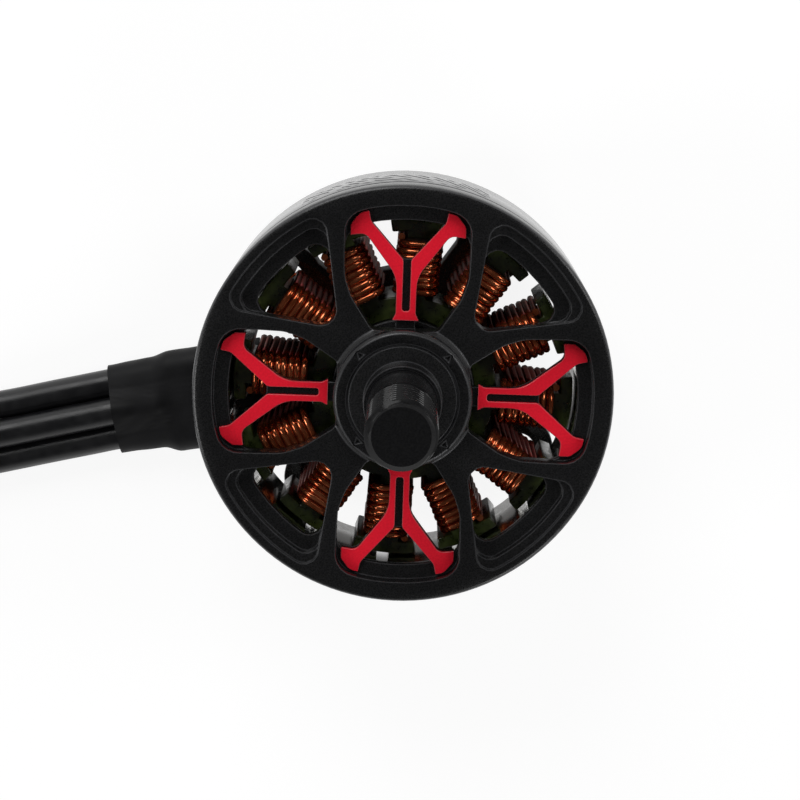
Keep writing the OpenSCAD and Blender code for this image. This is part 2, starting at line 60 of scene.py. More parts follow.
cameraFacts = {
    "distance": 0.170,      # from the middle of the bell's face
    "lens": 106.0, "sensor": 36, "clip": (0.01, 10),
    "tilt": 9.9,            # degrees off the shaft, towards the top of the picture
    "lean": 0.4,            # degrees off the shaft, towards its right
    "turn": -8.25,          # degrees from +X to the right of the picture
    "aimRight": -0.000195,
    "aimUp": -0.00023,
}


def placeCamera(facts):
    turn = math.radians(facts["turn"])
    tilt = math.radians(facts["tilt"])
    lean = math.radians(facts["lean"])
    across = Vector((math.cos(turn), math.sin(turn), 0))
    along = Vector((-math.sin(turn), math.cos(turn), 0))
    back = (Vector((0, 0, 1)) * math.cos(tilt) * math.cos(lean) + along * math.sin(tilt)
            + across * math.sin(lean) * math.cos(tilt)).normalized()
    right = along.cross(back).normalized()
    up = back.cross(right)
    aim = Vector((0, 0, bellTop)) + right * facts["aimRight"] + up * facts["aimUp"]
    bpy.ops.object.camera_add()
    camera = bpy.context.object
    camera.name = "pictureCamera"
    camera.matrix_world = Matrix.Translation(aim + back * facts["distance"]) @ Matrix(
        (right, up, back)).transposed().to_4x4()
    camera.data.lens = facts["lens"]
    camera.data.sensor_width = facts["sensor"]
    camera.data.clip_start, camera.data.clip_end = facts["clip"]
    stage.camera = camera


# small helpers used by most pieces

def nothingSelected():
    if bpy.context.mode != "OBJECT":
        bpy.ops.object.mode_set(mode="OBJECT")
    bpy.ops.object.select_all(action="DESELECT")


def pick(piece):
    nothingSelected()
    piece.select_set(True)
    bpy.context.view_layer.objects.active = piece


def editAll(piece):
    pick(piece)
    bpy.ops.object.mode_set(mode="EDIT")
    bpy.ops.mesh.select_mode(type="VERT")
    bpy.ops.mesh.select_all(action="SELECT")


def settle(piece):
    # the place goes into the mesh, so that the object stays at the origin
    pick(piece)
    bpy.ops.object.transform_apply(location=True, rotation=True, scale=True)


def smoothed(piece, angle):
    pick(piece)
    bpy.ops.object.shade_smooth_by_angle(angle=math.radians(angle))


def applied(piece, modifier):
    pick(piece)
    bpy.ops.object.modifier_apply(modifier=modifier.name)


def bevelled(piece, width, segments=2, angle=30, edgeSlot=-1):
    # edgeSlot sends the new edge faces to another material slot
    bevel = piece.modifiers.new("edges", "BEVEL")
    bevel.width = width
    bevel.segments = segments
    bevel.limit_method = "ANGLE"
    bevel.angle_limit = math.radians(angle)
    bevel.use_clamp_overlap = False
    bevel.material = edgeSlot
    applied(piece, bevel)


def joined(pieces, name):
    nothingSelected()
    for piece in pieces:
        piece.select_set(True)
    bpy.context.view_layer.objects.active = pieces[0]
    bpy.ops.object.join()
    whole = bpy.context.view_layer.objects.active
    whole.name = name
    whole.data.name = name
    return whole


def finish(piece, body, nodes):
    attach(piece, body)
    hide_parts(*nodes)
    return piece


def wireAlong(name, points, radius, sides, smooth=False):
    # a round wire through the points, as a curve of one open spline
    curve = bpy.data.curves.new(name, "CURVE")
    curve.dimensions = "3D"
    curve.bevel_depth = radius
    curve.bevel_resolution = sides
    curve.use_fill_caps = True
    if smooth:
        spline = curve.splines.new("BEZIER")
        spline.bezier_points.add(len(points) - 1)
        for knot, point in zip(spline.bezier_points, points):
            knot.co = point
            knot.handle_left_type = "AUTO"
            knot.handle_right_type = "AUTO"
        curve.resolution_u = 6
    else:
        spline = curve.splines.new("POLY")
        spline.points.add(len(points) - 1)
        for knot, point in zip(spline.points, points):
            knot.co = (*point, 1)
    spline.use_smooth = True
    wire = bpy.data.objects.new(name, curve)
    bpy.context.collection.objects.link(wire)
    return wire


def asMesh(piece):
    pick(piece)
    bpy.ops.object.convert(target="MESH")
    return bpy.context.object


# materials

def startMaterial(name, colour, rough, metal=0.0, specular=0.5, coat=0.0, coatRough=0.1):
    material = bpy.data.materials.new(name)
    material.use_nodes = True
    shader = material.node_tree.nodes["Principled BSDF"]
    shader.inputs["Base Color"].default_value = (*colour, 1)
    shader.inputs["Roughness"].default_value = rough
    shader.inputs["Metallic"].default_value = metal
    shader.inputs["Specular IOR Level"].default_value = specular
    shader.inputs["Coat Weight"].default_value = coat
    shader.inputs["Coat Roughness"].default_value = coatRough
    return material, material.node_tree.nodes, material.node_tree.links, shader


def groupSocket(group, name, kind, way, value=None):
    socket = group.interface.new_socket(name=name, in_out=way, socket_type=kind)
    if value is not None:
        socket.default_value = value


grainFacts = {"bumpDeep": 0.02 * mm, "maskFrom": 0.35, "maskTo": 0.65}


def makeGrainGroup():
    # fine surface grain: a mask for tone and roughness, and the normal of its bumps
    group = bpy.data.node_groups.new("surfaceGrain", "ShaderNodeTree")
    groupSocket(group, "Scale", "NodeSocketFloat", "INPUT", 3000)
    groupSocket(group, "Detail", "NodeSocketFloat", "INPUT", 3)
    groupSocket(group, "Height", "NodeSocketFloat", "INPUT", 0.1)
    groupSocket(group, "Stretch", "NodeSocketVector", "INPUT", (1, 1, 1))
    groupSocket(group, "Mask", "NodeSocketFloat", "OUTPUT")
    groupSocket(group, "Normal", "NodeSocketVector", "OUTPUT")
    nodes, links = group.nodes, group.links
    inside = nodes.new("NodeGroupInput")
    outside = nodes.new("NodeGroupOutput")
    place = nodes.new("ShaderNodeTexCoord")
    stretch = nodes.new("ShaderNodeVectorMath")
    stretch.operation = "MULTIPLY"
    noise = nodes.new("ShaderNodeTexNoise")
    bump = nodes.new("ShaderNodeBump")
    bump.inputs["Distance"].default_value = grainFacts["bumpDeep"]
    links.new(place.outputs["Object"], stretch.inputs[0])
    links.new(inside.outputs["Stretch"], stretch.inputs[1])
    links.new(stretch.outputs[0], noise.inputs["Vector"])
    links.new(inside.outputs["Scale"], noise.inputs["Scale"])
    links.new(inside.outputs["Detail"], noise.inputs["Detail"])
    links.new(noise.outputs["Fac"], bump.inputs["Height"])
    links.new(inside.outputs["Height"], bump.inputs["Strength"])
    links.new(noise.outputs["Fac"], outside.inputs["Mask"])
    links.new(bump.outputs["Normal"], outside.inputs["Normal"])
    return group


grainGroup = makeGrainGroup()


def addGrain(nodes, links, shader, scale, height, roughLow, roughHigh, stretch=(1, 1, 1)):
    grain = nodes.new("ShaderNodeGroup")
    grain.node_tree = grainGroup
    grain.inputs["Scale"].default_value = scale
    grain.inputs["Height"].default_value = height
    grain.inputs["Stretch"].default_value = stretch
    spread = nodes.new("ShaderNodeMapRange")
    spread.inputs["From Min"].default_value = grainFacts["maskFrom"]
    spread.inputs["From Max"].default_value = grainFacts["maskTo"]
    spread.inputs["To Min"].default_value = roughLow
    spread.inputs["To Max"].default_value = roughHigh
    links.new(grain.outputs["Mask"], spread.inputs["Value"])
    links.new(spread.outputs["Result"], shader.inputs["Roughness"])
    links.new(grain.outputs["Normal"], shader.inputs["Normal"])
    return grain


def addTone(nodes, links, shader, grain, dark, light):
    # the base colour runs from dark to light with the grain's mask
    ramp = nodes.new("ShaderNodeValToRGB")
    ramp.color_ramp.elements[0].position = grainFacts["maskFrom"]
    ramp.color_ramp.elements[0].color = (*dark, 1)
    ramp.color_ramp.elements[1].position = grainFacts["maskTo"]
    ramp.color_ramp.elements[1].color = (*light, 1)
    links.new(grain.outputs["Mask"], ramp.inputs["Fac"])
    links.new(ramp.outputs["Color"], shader.inputs["Base Color"])


def blackAnodised():
    material, nodes, links, shader = startMaterial(
        "black anodised", (0.007, 0.007, 0.0075), 0.3, specular=0.45)
    grain = addGrain(nodes, links, shader, 9000, 0.15, 0.24, 0.34)
    addTone(nodes, links, shader, grain, (0.0045, 0.0045, 0.005), (0.0105, 0.0105, 0.011))
    return material


def polishedEdge():
    material, nodes, links, shader = startMaterial(
        "polished black edge", (0.045, 0.045, 0.048), 0.4, metal=0.3)
    addGrain(nodes, links, shader, 2500, 0.05, 0.28, 0.45)
    return material


def redAnodised():
    material, nodes, links, shader = startMaterial(
        "red anodised", (0.88, 0.009, 0.03), 0.45, specular=0.25)
    grain = addGrain(nodes, links, shader, 7000, 0.15, 0.4, 0.5)
    addTone(nodes, links, shader, grain, (0.83, 0.008, 0.027), (0.93, 0.011, 0.034))
    return material


def redEdge():
    material, nodes, links, shader = startMaterial("red edge", (0.75, 0.1, 0.12), 0.35, metal=0.2)
    addGrain(nodes, links, shader, 2500, 0.05, 0.25, 0.4)
    return material


sheetFacts = {"thick": 0.35 * mm, "strength": 0.35, "deep": 0.04 * mm}


def statorEpoxy():
    # dark green coat over the stack, whose sheets just show as fine level lines
    material, nodes, links, shader = startMaterial(
        "stator epoxy", (0.034, 0.042, 0.01), 0.3, specular=0.5, coat=0.3, coatRough=0.15)
    grain = addGrain(nodes, links, shader, 1800, 0.35, 0.25, 0.42)
    addTone(nodes, links, shader, grain, (0.02, 0.029, 0.005), (0.055, 0.076, 0.014))
    place = nodes.new("ShaderNodeTexCoord")
    sheets = nodes.new("ShaderNodeTexWave")
    sheets.bands_direction = "Z"
    sheets.inputs["Scale"].default_value = 1 / (20 * sheetFacts["thick"])
    lines = nodes.new("ShaderNodeBump")
    lines.inputs["Strength"].default_value = sheetFacts["strength"]
    lines.inputs["Distance"].default_value = sheetFacts["deep"]
    links.new(place.outputs["Object"], sheets.inputs["Vector"])
    links.new(sheets.outputs["Fac"], lines.inputs["Height"])
    links.new(grain.outputs["Normal"], lines.inputs["Normal"])
    links.new(lines.outputs["Normal"], shader.inputs["Normal"])
    return material


def enamelledCopper():
    material, nodes, links, shader = startMaterial(
        "enamelled copper", (0.5, 0.14, 0.055), 0.16, metal=0.88)
    shader.inputs["Specular Tint"].default_value = (0.2, 0.08, 0.05, 1)    # keeps grazing views dark: painted shade on the coils' sides, which face the floor in the motor's shadow
    grain = addGrain(nodes, links, shader, 1200, 0.08, 0.13, 0.22)
    addTone(nodes, links, shader, grain, (0.44, 0.1, 0.036), (0.7, 0.21, 0.09))
    return material


def slotLiner():
    material, nodes, links, shader = startMaterial("slot liner", (0.03, 0.014, 0.008), 0.6)
    addGrain(nodes, links, shader, 2500, 0.3, 0.5, 0.7)
    return material


def brightSolder():
    material, nodes, links, shader = startMaterial("solder", (0.6, 0.61, 0.63), 0.3, metal=1.0)
    addGrain(nodes, links, shader, 1500, 0.5, 0.22, 0.42)
    return material


def bearingSteel():
    material, nodes, links, shader = startMaterial(
        "bearing steel", (0.5, 0.51, 0.53), 0.25, metal=1.0)
    addGrain(nodes, links, shader, 2500, 0.12, 0.18, 0.32, stretch=(1, 1, 6))
    return material


def cageBrass():
    material, nodes, links, shader = startMaterial("cage brass", (0.5, 0.34, 0.12), 0.32, metal=1.0)
    addGrain(nodes, links, shader, 2500, 0.15, 0.25, 0.4)
    return material


def fluxSteel(outside, strokes):
    # gloss black outside, with a band of plain matt strokes, and bare steel on the bore
    material, nodes, links, shader = startMaterial(
        "flux ring steel", (0.012, 0.012, 0.013), 0.14, specular=0.5)
    addGrain(nodes, links, shader, 6000, 0.04, 0.12, 0.18)
    gloss = shader.inputs["Roughness"].links[0].from_socket
    place = nodes.new("ShaderNodeTexCoord")
    split = nodes.new("ShaderNodeSeparateXYZ")
    links.new(place.outputs["Object"], split.inputs[0])
    flat = nodes.new("ShaderNodeVectorMath")
    flat.operation = "MULTIPLY"
    flat.inputs[1].default_value = (1, 1, 0)
    links.new(place.outputs["Object"], flat.inputs[0])
    reach = nodes.new("ShaderNodeVectorMath")
    reach.operation = "LENGTH"
    links.new(flat.outputs[0], reach.inputs[0])

    def worked(kind, *values):
        node = nodes.new("ShaderNodeMath")
        node.operation = kind
        for socket, value in zip(node.inputs, values):
            if isinstance(value, (int, float)):
                socket.default_value = value
            else:
                links.new(value, socket)
        return node.outputs[0]

    bare = worked("LESS_THAN", reach.outputs["Value"], outside - strokes["skin"])
    # angle round the ring, in millimetres along it, leaned over by the height
    turn = worked("ARCTAN2", split.outputs["Y"], split.outputs["X"])
    along = worked("MULTIPLY", turn, outside / strokes["pitch"])
    lean = worked("MULTIPLY", split.outputs["Z"], strokes["lean"] / strokes["pitch"])
    wave = worked("FRACT", worked("ADD", worked("ADD", along, lean), strokes["ahead"]))
    stroke = worked("LESS_THAN", wave, strokes["share"])
    nearMiddle = worked("COMPARE", turn, math.radians(strokes["middle"]),
                        math.radians(strokes["spread"]))
    nearHeight = worked("COMPARE", split.outputs["Z"], strokes["height"], strokes["tall"] / 2)
    mark = worked("MULTIPLY", worked("MULTIPLY", stroke, nearMiddle), nearHeight)
    broken = nodes.new("ShaderNodeTexNoise")      # breaks the strokes up
    broken.inputs["Scale"].default_value = strokes["breakScale"]
    links.new(place.outputs["Object"], broken.inputs["Vector"])
    unbroken = worked("GREATER_THAN", broken.outputs["Fac"], strokes["breakAbove"])
    mark = worked("MULTIPLY", worked("MULTIPLY", mark, unbroken), worked("SUBTRACT", 1, bare))

    coat = nodes.new("ShaderNodeMix")
    coat.data_type = "RGBA"
    coat.inputs["A"].default_value = strokes["coatTone"]
    coat.inputs["B"].default_value = strokes["strokeTone"]
    links.new(mark, coat.inputs["Factor"])
    colour = nodes.new("ShaderNodeMix")
    colour.data_type = "RGBA"
    colour.inputs["B"].default_value = strokes["steelTone"]
    links.new(coat.outputs["Result"], colour.inputs["A"])
    links.new(bare, colour.inputs["Factor"])
    links.new(colour.outputs["Result"], shader.inputs["Base Color"])
    links.new(bare, shader.inputs["Metallic"])
    matt = worked("MULTIPLY", mark, strokes["matt"])
    links.new(worked("ADD", gloss, matt), shader.inputs["Roughness"])
    return material


def magnetCoat():
    material, nodes, links, shader = startMaterial(
        "magnet nickel", (0.78, 0.77, 0.75), 0.16, metal=1.0)
    grain = addGrain(nodes, links, shader, 3000, 0.08, 0.12, 0.22)
    addTone(nodes, links, shader, grain, (0.72, 0.71, 0.69), (0.82, 0.81, 0.79))
    return material


def shaftSteel():
    material, nodes, links, shader = startMaterial(
        "black shaft steel", (0.009, 0.009, 0.01), 0.16, specular=0.13)
    grain = addGrain(nodes, links, shader, 9000, 0.05, 0.12, 0.2)
    addTone(nodes, links, shader, grain, (0.007, 0.007, 0.0075), (0.012, 0.012, 0.0125))
    return material


def paintedCrestHighlight():
    # painted highlight: the crests are coloured lighter than the rest of the shaft, in specks from
    # the grain
    material, nodes, links, shader = startMaterial(
        "thread crest with painted highlight", (0.03, 0.03, 0.031), 0.25, specular=0.7)
    grain = addGrain(nodes, links, shader, 5000, 0.1, 0.15, 0.35)
    addTone(nodes, links, shader, grain, (0.008, 0.008, 0.0085), (0.06, 0.06, 0.062))
    return material


def heatShrink():
    material, nodes, links, shader = startMaterial(
        "heat shrink", (0.008, 0.008, 0.009), 0.55, specular=0.18)
    grain = addGrain(nodes, links, shader, 420, 0.3, 0.48, 0.6)
    addTone(nodes, links, shader, grain, (0.006, 0.006, 0.0065), (0.0095, 0.0095, 0.0105))
    return material


def siliconeLead():
    material, nodes, links, shader = startMaterial(
        "silicone lead", (0.006, 0.006, 0.007), 0.34, specular=0.5)
    grain = addGrain(nodes, links, shader, 900, 0.08, 0.3, 0.38)
    addTone(nodes, links, shader, grain, (0.005, 0.005, 0.006), (0.0075, 0.0075, 0.0085))
    return material


def tiePlastic():
    material, nodes, links, shader = startMaterial("tie plastic", (0.018, 0.018, 0.019), 0.45)
    addGrain(nodes, links, shader, 2000, 0.2, 0.38, 0.55)
    return material


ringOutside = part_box("flux_ring")[1].x
strokeFacts = {
    "pitch": 1.1 * mm, "share": 0.45, "lean": 0.6,
    "middle": 84, "spread": 27,                     # degrees round the ring, and to either side
    "height": 10.8 * mm, "tall": 5.2 * mm,
    "breakScale": 700, "breakAbove": 0.46,
    "matt": 0.6,                                    # how much rougher a stroke is than the coat
    "coatTone": (0.011, 0.011, 0.012, 1), "strokeTone": (0.06, 0.06, 0.062, 1),
    "steelTone": (0.72, 0.72, 0.72, 1),
    "skin": 0.6 * mm,                               # what lies deeper than this is bare steel
    "ahead": 100,                                   # whole strokes added, so that none counts below 0
}
finishes = {
    "blackAnodised": blackAnodised(),
    "polishedEdge": polishedEdge(),
    "redAnodised": redAnodised(),
    "redEdge": redEdge(),
    "statorEpoxy": statorEpoxy(),
    "enamelledCopper": enamelledCopper(),
    "slotLiner": slotLiner(),
    "solder": brightSolder(),
    "bearingSteel": bearingSteel(),
    "cageBrass": cageBrass(),
    "fluxSteel": fluxSteel(ringOutside, strokeFacts),
    "magnetCoat": magnetCoat(),
    "shaftSteel": shaftSteel(),
    "paintedCrestHighlight": paintedCrestHighlight(),
    "heatShrink": heatShrink(),
    "siliconeLead": siliconeLead(),
    "tiePlastic": tiePlastic(),
}


def dress(piece, *names):
    # slots are filled in place, because emptying them sends every face back to the first
    slots = piece.data.materials
    while len(slots) > len(names):
        slots.pop()
    for i, name in enumerate(names):
        if i < len(slots):
            slots[i] = finishes[name]
        else:
            slots.append(finishes[name])


# leads

leadFacts = {
    "thick": 2.3 * mm,
    "length": 0.150,
    "coil": (-56, -14.2),          # middle of the coil of spare lead, in millimetres like the routes
    "lowZ": 1.15, "highZ": 3.5,
    "climb": (330, 386),           # the angles between which a lead climbs onto the first turn
    "tieAngle": 180, "tieLift": 0.3, "tieLiftHigh": 0.15, "tieReach": 25,
    "step": 12,                    # degrees between the points of a turn
    "start": 90,                   # degrees round the coil where the leads join it
    "straight": 3,                 # even steps from the route to the coil
}
leads = {
    "lead_a": {
        "radius": 15.0, "end": 489.5, "y": 0.8,
        "route": [
            (-10.6, 1.9, 1.6), (-13, 1.9, 1.6), (-15.5, 1.9, 1.6), (-18, 1.8, 1.55),
            (-20.5, 1.7, 1.5), (-23, 1.6, 1.5), (-25.5, 1.45, 1.4), (-28, 1.3, 1.3),
            (-31, 1.1, 1.2), (-34, 1, 1.15), (-37, 0.95, 1.15), (-40, 0.9, 1.15),
            (-43, 0.85, 1.15), (-46, 0.8, 1.15), (-49.8, 0.8, 1.15)],
    },
    "lead_b": {
        "radius": 12.65, "end": 563, "y": -1.55,
        "route": [
            (-10.6, -0.5, 1.6), (-13, -0.5, 1.6), (-15.5, -0.5, 1.65), (-18, -0.5, 1.9),
            (-20.5, -0.5, 2.3), (-23, -0.5, 2.45), (-25.5, -0.65, 2.35), (-28, -0.8, 2.25),
            (-31, -1, 2.15), (-34, -1.15, 2.1), (-37, -1.3, 1.9), (-40, -1.45, 1.5),
            (-43, -1.5, 1.2), (-45.8, -1.55, 1.15)],
    },
    "lead_c": {
        "radius": 10.3, "end": 671, "y": -3.9,
        "route": [
            (-10.6, -2.9, 1.6), (-13, -2.9, 1.6), (-15.5, -2.9, 1.6), (-18, -2.8, 1.55),
            (-20.5, -2.7, 1.5), (-23, -2.6, 1.5), (-25.5, -2.75, 1.4), (-28, -2.9, 1.3),
            (-31, -3.1, 1.2), (-34, -3.3, 1.15), (-37, -3.55, 1.15), (-40, -3.8, 1.15),
            (-43.4, -3.9, 1.15)],
    },
}


def easeBetween(value, low, high):
    share = min(max((value - low) / (high - low), 0), 1)
    return share * share * (3 - 2 * share)


def coilPoint(lead, angle):
    facts = leadFacts
    climbed = easeBetween(angle, *facts["climb"])
    nearTie = math.exp(-(((angle % 360) - facts["tieAngle"]) / facts["tieReach"]) ** 2)
    lift = facts["tieLift"] * (1 - climbed) + facts["tieLiftHigh"] * climbed
    height = facts["lowZ"] + (facts["highZ"] - facts["lowZ"]) * climbed + lift * nearTie
    turn = math.radians(angle)
    return (facts["coil"][0] + lead["radius"] * math.cos(turn),
            facts["coil"][1] + lead["radius"] * math.sin(turn), height)


def leadPath(lead):
    points = list(lead["route"])
    lastX, coilX = points[-1][0], leadFacts["coil"][0]
    straight, start = leadFacts["straight"], leadFacts["start"]
    for i in range(1, straight):
        points.append((lastX + (coilX - lastX) * i / straight, lead["y"], leadFacts["lowZ"]))
    steps = round((lead["end"] - start) / leadFacts["step"])
    for i in range(steps + 1):
        points.append(coilPoint(lead, start + (lead["end"] - start) * i / steps))
    return [Vector(point) * mm for point in points]


def layLeads():
    for name, lead in leads.items():
        path = leadPath(lead)
        piece = wireAlong("silicone_" + name, path, leadFacts["thick"] / 2, sides=5, smooth=True)
        dress(piece, "siliconeLead")
        finish(piece, "stator", (name, "lead_coil"))


tipFacts = {
    "length": 3 * mm, "inside": 0.3 * mm,      # how long, and how much of it is inside the lead
    "strand": 0.19 * mm, "ring": 0.36 * mm, "count": 6, "twist": 200, "steps": 10,
}


def strandBundle(name, start, way, length, facts):
    # strands twisted round a middle one
    way = Vector(way).normalized()
    side = way.cross(Vector((0, 0, 1)) if abs(way.z) < 0.9 else Vector((1, 0, 0))).normalized()
    over = way.cross(side)
    start, steps = Vector(start), facts["steps"]
    wires = [wireAlong(name + "_core", [start, start + way * length], facts["strand"], 1)]
    for i in range(facts["count"]):
        points = []
        for j in range(steps + 1):
            turn = math.radians(360 * i / facts["count"] + facts["twist"] * j / steps)
            out = (side * math.cos(turn) + over * math.sin(turn)) * facts["ring"]
            points.append(start + way * (length * j / steps) + out)
        wires.append(wireAlong(name + "_strand", points, facts["strand"], 1))
    return joined([asMesh(wire) for wire in wires], name)


def leadTips():
    tips = []
    for name, lead in leads.items():
        turn = math.radians(lead["end"])
        way = Vector((-math.sin(turn), math.cos(turn), 0))
        start = Vector(coilPoint(lead, lead["end"])) * mm - way * tipFacts["inside"]
        tips.append(strandBundle("tip_" + name, start, way, tipFacts["length"], tipFacts))
    whole = joined(tips, "tinned_tips")
    dress(whole, "solder")
    smoothed(whole, 50)
    return finish(whole, "stator", ("lead_tips",))


# the shrunk sleeve over the leads

sleeveFacts = {
    "sections": [      # x, middle y, half spread, z of the outer leads, z of the middle lead
        (-11, -0.5, 2.6, 1.7, 1.7), (-18.3, -0.5, 2.6, 1.65, 1.8), (-19.8, -0.45, 2.2, 1.5, 2.2),
        (-23.2, -0.5, 2.1, 1.5, 2.45)],
    "radius": 1.45, "wall": 0.28, "round": 144, "rings": 46,
    "dip": 0.1,        # how far the tube sinks between neighbouring leads
    "crease": 0.02, "creaseRound": 5, "creaseAlong": 2.1, "creaseDrift": 0.9,
    "look": (88, 2),   # the hull is felt for to either side of a ray, in steps, in degrees
}


def between(sections, x):
    for before, after in zip(sections, sections[1:]):
        if x >= after[0] or after is sections[-1]:
            share = easeBetween(x, after[0], before[0])
            return [a + (b - a) * share for a, b in zip(after, before)]


def sleeveReach(section, turn):
    # how far the tube is from its middle, in the direction of the angle
    _, _, spread, outerZ, middleZ = section
    radius = sleeveFacts["radius"]
    way = Vector((math.cos(turn), math.sin(turn)))
    widest, step = sleeveFacts["look"]
    union = 0
    centres = [Vector((side * spread, 0 if side else middleZ - outerZ)) for side in (-1, 0, 1)]
    for centre in centres:
        ahead = centre.dot(way)
        off = centre.length_squared - ahead * ahead
        if off < radius * radius:
            union = max(union, ahead + math.sqrt(radius * radius - off))
    # the hull's edge along the ray, from the support lines of the three circles
    hull = min((max(c.dot(n) for c in centres) + radius) / max(n.dot(way), 1e-6)
               for n in (Vector((math.cos(a), math.sin(a)))
                         for a in (turn + math.radians(d) for d in range(-widest, widest + 1, step))))
    return union * sleeveFacts["dip"] + hull * (1 - sleeveFacts["dip"])


def shrinkSleeve():
    facts = sleeveFacts
    first, last = facts["sections"][0][0], facts["sections"][-1][0]
    bpy.ops.mesh.primitive_cylinder_add(
        vertices=facts["round"], radius=1, depth=1, end_fill_type="NOTHING")
    sleeve = bpy.context.object
    sleeve.name = "heat_shrink_sleeve"
    editAll(sleeve)
    bpy.ops.mesh.select_all(action="DESELECT")
    bpy.ops.mesh.select_mode(type="EDGE")
    bpy.ops.object.mode_set(mode="OBJECT")
    for edge in sleeve.data.edges:
        a, b = (sleeve.data.vertices[i].co for i in edge.vertices)
        edge.select = abs(a.z - b.z) > 0.5
    bpy.ops.object.mode_set(mode="EDIT")
    bpy.ops.mesh.subdivide(number_cuts=facts["rings"])
    bpy.ops.object.mode_set(mode="OBJECT")
    for vertex in sleeve.data.vertices:
        x = first + (last - first) * (vertex.co.z + 0.5)
        section = between(facts["sections"], x)
        turn = math.atan2(vertex.co.y, vertex.co.x)
        reach = sleeveReach(section, turn)
        fold = (math.sin(x * facts["creaseAlong"] + 2 * math.sin(turn * 3))
                * math.sin(turn * facts["creaseRound"] + x * facts["creaseDrift"]))
        reach += facts["crease"] * fold
        vertex.co = Vector((x, section[1] + reach * math.cos(turn),
                            section[3] + reach * math.sin(turn))) * mm
    editAll(sleeve)
    bpy.ops.mesh.normals_make_consistent(inside=False)
    bpy.ops.object.mode_set(mode="OBJECT")
    wall = sleeve.modifiers.new("wall", "SOLIDIFY")
    wall.thickness = facts["wall"] * mm
    wall.offset = -1
    applied(sleeve, wall)
    smoothed(sleeve, 50)
    dress(sleeve, "heatShrink")
    return finish(sleeve, "stator", ("lead_sleeve",))


# parts that keep their frame shape, with their edges broken

def edgedCopy(node, name, looks, width, segments, flat):
    # a node's shape with its edges broken; flat is the angle up to which faces become one
    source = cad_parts[node]
    piece = bpy.data.objects.new(name, source.data.copy())
    bpy.context.collection.objects.link(piece)
    dress(piece, *looks)
    pick(piece)
    bpy.ops.mesh.customdata_custom_splitnormals_clear()
    editAll(piece)
    bpy.ops.mesh.remove_doubles(threshold=weld)
    if flat:
        bpy.ops.mesh.dissolve_limited(angle_limit=math.radians(flat))
    bpy.ops.object.mode_set(mode="OBJECT")
    bevelled(piece, width, segments, edgeSlot=len(looks) - 1)
    smoothed(piece, 32)
    return piece


edgedFacts = {
    # node: its new name, edge width in millimetres, edge steps, body, finish, edge finish
    "bell": ("windowed_bell", 0.07, 2, "rotor", "blackAnodised", "polishedEdge"),
    "rib_accents": ("red_rib_inlays", 0.04, 1, "rotor", "redAnodised", "redEdge"),
    "base": ("four_arm_base", 0.12, 2, "stator", "blackAnodised", "polishedEdge"),
    "stator_core": ("coated_stack", 0.12, 3, "stator", "statorEpoxy", None),
    "flux_ring": ("steel_flux_ring", 0.05, 2, "rotor", "fluxSteel", None),
    "magnets": ("arc_magnets", 0.08, 2, "rotor", "magnetCoat", None),
    "shaft_spacer": ("spacer_ring", 0.05, 2, "rotor", "bearingSteel", None),
    "upper_bearing_outer": ("upper_outer_ring", 0.12, 2, "stator", "bearingSteel", None),
    "lower_bearing_outer": ("lower_outer_ring", 0.12, 2, "stator", "bearingSteel", None),
    "upper_bearing_inner": ("upper_inner_ring", 0.1, 2, "rotor", "bearingSteel", None),
    "lower_bearing_inner": ("lower_inner_ring", 0.1, 2, "rotor", "bearingSteel", None),
    "bearing_shields": ("shield_discs", 0.03, 1, "stator", "bearingSteel", None),
    "retaining_washer": ("shaft_washer", 0.06, 2, "rotor", "bearingSteel", None),
    "retaining_screw": ("shaft_screw", 0.1, 3, "rotor", "shaftSteel", "polishedEdge"),
    "lead_tie": ("tie_band", 0.08, 2, "stator", "tiePlastic", None),
}
faceted = ("bell", "rib_accents")       # their flat faces have windows, so they stay in triangles
flatWithin = 0.5                        # degrees up to which other faces become one


def edgedParts():
    made = {}
    for node, (name, width, steps, body, main, edge) in edgedFacts.items():
        looks = [kind for kind in (main, edge) if kind]
        piece = edgedCopy(node, name, looks, width * mm, steps,
                          0 if node in faceted else flatWithin)
        finish(piece, body, (node,))
        made[node] = piece
    return made


plainFacts = {
    "upper_bearing_balls": "bearingSteel", "lower_bearing_balls": "bearingSteel",
    "upper_bearing_cage": "cageBrass", "lower_bearing_cage": "cageBrass",
    "solder_joints": "solder",
}


# the threaded shaft

shaftFacts = {
    "journal": 2.0 * mm, "thread": 2.5 * mm, "core": 2.1 * mm, "pitch": 0.8 * mm,
    "step": 15.4 * mm, "threadFrom": 27.0 * mm, "footWide": 0.3 * mm, "footDeep": 0.2 * mm,
    "tipChamfer": 0.5 * mm, "ring": 0.1 * mm, "round": 72,
    "hole": 1.26 * mm, "holeTop": 7.25 * mm, "footChamfer": 0.15 * mm,
    "ridge": 1.25, "flank": 2.9,     # height of a ridge before it is cut flat, and its fall
    "crest": 2.45 * mm,              # what stands out further than this is the thread's crest, coloured with the painted highlight
}


